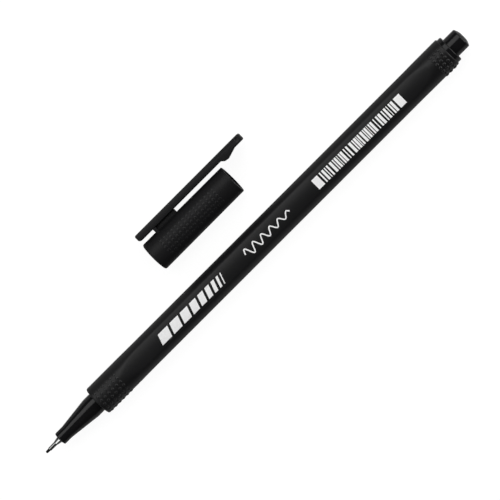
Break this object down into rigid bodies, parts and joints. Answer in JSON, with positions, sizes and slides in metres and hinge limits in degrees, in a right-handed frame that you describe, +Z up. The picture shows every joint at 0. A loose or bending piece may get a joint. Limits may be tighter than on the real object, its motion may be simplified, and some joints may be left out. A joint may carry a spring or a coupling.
{
  "type": "fineliner pen",
  "caption": "Slim fineliner pen with a softly triangular barrel, steel-sleeved fine nib and tail post, its clip cap lying alongside; used for writing and drawing fine lines.",
  "frame": {"origin": "on the table under the middle of the box round the pen and its cap", "axes": "+X along the pen from the nib to the tail, +Y across from the pen to the cap, +Z up from the table"},
  "size_m": [0.15, 0.0272, 0.0085],
  "materials": {
    "barrel_plastic": "black satin moulded polypropylene",
    "gloss_plastic": "black glossy moulded polypropylene",
    "cap_plastic": "black satin moulded polypropylene",
    "sleeve_steel": "bright drawn stainless steel",
    "nib_fibre": "ink-soaked capillary rod",
    "filler_fibre": "ink-soaked bonded polyester fibre",
    "film": "thin clear film",
    "seal_plastic": "soft natural polyethylene"
  },
  "bodies": {
    "pen": {"nib": "nib_fibre", "nib_sleeve": "sleeve_steel", "nose_cone": "gloss_plastic", "ink_filler": "filler_fibre", "filler_wrap": "film", "barrel": "barrel_plastic", "tail_plug": "gloss_plastic"},
    "cap": {"cap_shell": "cap_plastic", "cap_inner_seal": "seal_plastic"},
    "clip": {"cap_clip": "cap_plastic"}
  },
  "joints": [
    {"name": "cap_slide", "type": "slide", "parent": "pen", "child": "cap", "axis": [1, 0, 0], "range_m": [-0.06445, 0]},
    {"name": "clip_flex", "type": "hinge", "parent": "cap", "child": "clip", "pos_m": [-0.01522, 0.01157, 0.00425], "axis": [0, 0, 1], "range_deg": [0, 5], "stiffness_Nm_per_rad": 0.5}
  ]
}
